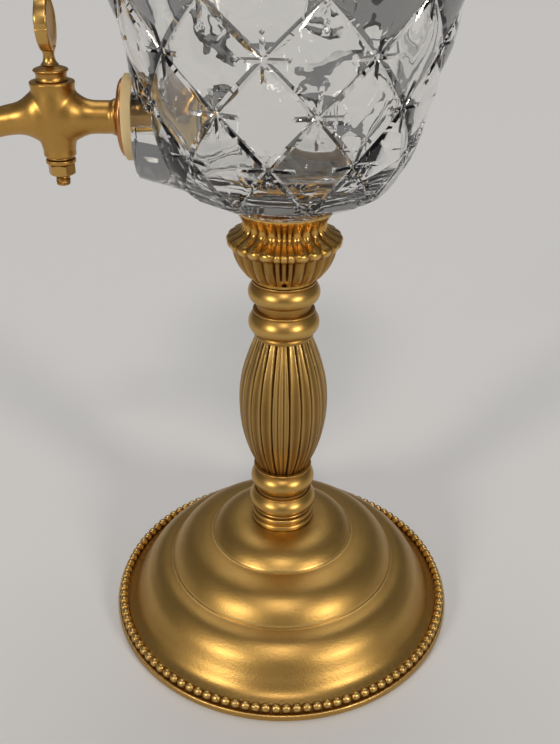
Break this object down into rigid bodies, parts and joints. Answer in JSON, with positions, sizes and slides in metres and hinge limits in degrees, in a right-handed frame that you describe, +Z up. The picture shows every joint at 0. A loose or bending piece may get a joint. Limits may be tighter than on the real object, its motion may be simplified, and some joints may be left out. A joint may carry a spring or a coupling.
{
  "type": "absinthe fountain",
  "caption": "Table-top iced-water fountain: cut-glass bowl on a ribbed metal stem and stepped, beaded base, with a side plug tap and a lift-off lid.",
  "frame": {"origin": "centre of the felt pad's underside, on the table", "axes": "+Z up along the stem; the tap points along -X; -Y is the side that faces the viewer"},
  "size_m": [0.2005, 0.152, 0.3728],
  "materials": {
    "felt": "matt",
    "ballast": "raw casting",
    "gold_paint": "satin metallic paint with a fine orange-peel texture",
    "gold_paint_light": "satin metallic paint",
    "plated_steel": "plated",
    "brass": "machined",
    "crystal": "polished cut glass",
    "cement": "set white cement",
    "ivory_rubber": "matt",
    "clear_silicone": "translucent"
  },
  "bodies": {
    "stand": {"felt_pad": "felt", "base_weight": "ballast", "base_shell": "gold_paint", "beaded_rim": "gold_paint", "base_washer": "plated_steel", "base_nut": "plated_steel", "tie_rod": "plated_steel", "stem_foot": "gold_paint", "lower_collar": "gold_paint", "neck_ring": "gold_paint", "fluted_baluster": "gold_paint", "upper_collar": "gold_paint", "cup_collar": "gold_paint", "fluted_cup": "gold_paint_light", "cup_washer": "plated_steel", "cup_nut": "plated_steel", "bowl_cement": "cement", "glass_bowl": "crystal", "outer_gasket": "ivory_rubber", "tap_flange": "gold_paint_light", "tap_body": "gold_paint_light", "inner_gasket": "ivory_rubber", "inner_washer": "plated_steel", "tap_locknut": "brass"},
    "tap_key": {"tap_plug": "gold_paint_light", "tap_handle": "gold_paint_light", "plug_spring_washer": "gold_paint_light", "plug_washer": "gold_paint_light", "plug_nut": "gold_paint_light"},
    "lid": {"lid_dome": "gold_paint", "lid_seal": "clear_silicone", "lid_collar": "gold_paint", "lid_finial": "gold_paint", "lid_stud": "plated_steel", "lid_nut": "plated_steel"}
  },
  "joints": [
    {"name": "tap_turn", "type": "hinge", "parent": "stand", "child": "tap_key", "pos_m": [-0.08042, 0, 0.2195], "axis": [0, 0, 1], "range_deg": [0, 90]},
    {"name": "lid_lift", "type": "slide", "parent": "stand", "child": "lid", "axis": [0, 0, 1], "range_m": [0, 0.06]}
  ]
}
